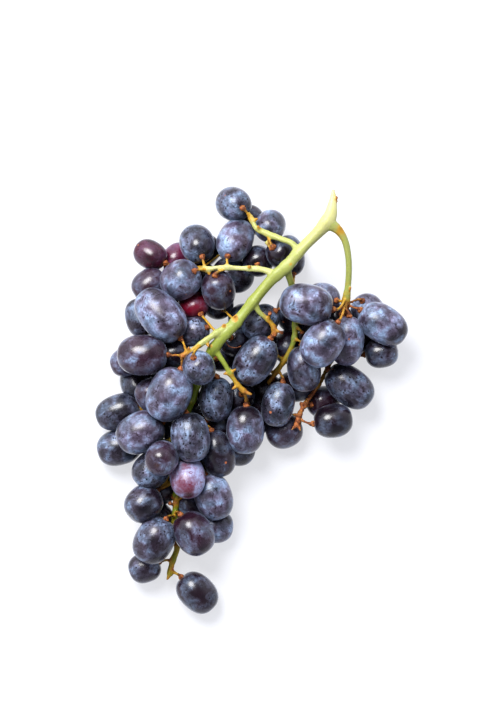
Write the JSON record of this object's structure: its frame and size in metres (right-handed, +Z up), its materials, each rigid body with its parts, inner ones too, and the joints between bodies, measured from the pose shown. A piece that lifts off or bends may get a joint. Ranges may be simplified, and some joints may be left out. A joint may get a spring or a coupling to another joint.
{
  "type": "bunch of grapes",
  "caption": "Bunch of oval black table grapes on a branching green stalk, lying flat; berries held together in clusters, a few still ripening red or lilac.",
  "frame": {"origin": "centre of the bounding box at its base, on the surface that the bunch lies on", "axes": "+Y along the bunch towards the cut end of the stalk, +Z up from the surface, +X to the right seen from above"},
  "size_m": [0.1569, 0.2141, 0.0494],
  "materials": {
    "stalk": "satin, fresh green bark",
    "dark_skin": "waxy blue bloom over a smooth blue-black skin, rubbed glossy in places",
    "red_skin": "smooth wine-red skin with a thin bloom",
    "blush_skin": "pale lilac bloom over a pink-purple skin"
  },
  "bodies": {
    "root": {"stalk": "stalk", "berries_top": "dark_skin", "berries_upper_left": "dark_skin", "berries_left_rim": "dark_skin", "berries_left": "dark_skin", "berries_centre": "dark_skin", "berries_upper_centre": "dark_skin", "berries_middle_right": "dark_skin", "berries_right_wing": "dark_skin", "berries_wing_end": "dark_skin", "berries_lower_left": "dark_skin", "berries_lower": "dark_skin", "berries_tail_top": "dark_skin", "berries_tail": "dark_skin", "berries_over_stem": "dark_skin", "berry_end": "dark_skin", "berry_red_rim": "red_skin", "berry_red_upper": "red_skin", "berry_red_lower": "red_skin", "berry_blush": "blush_skin"}
  },
  "joints": []
}
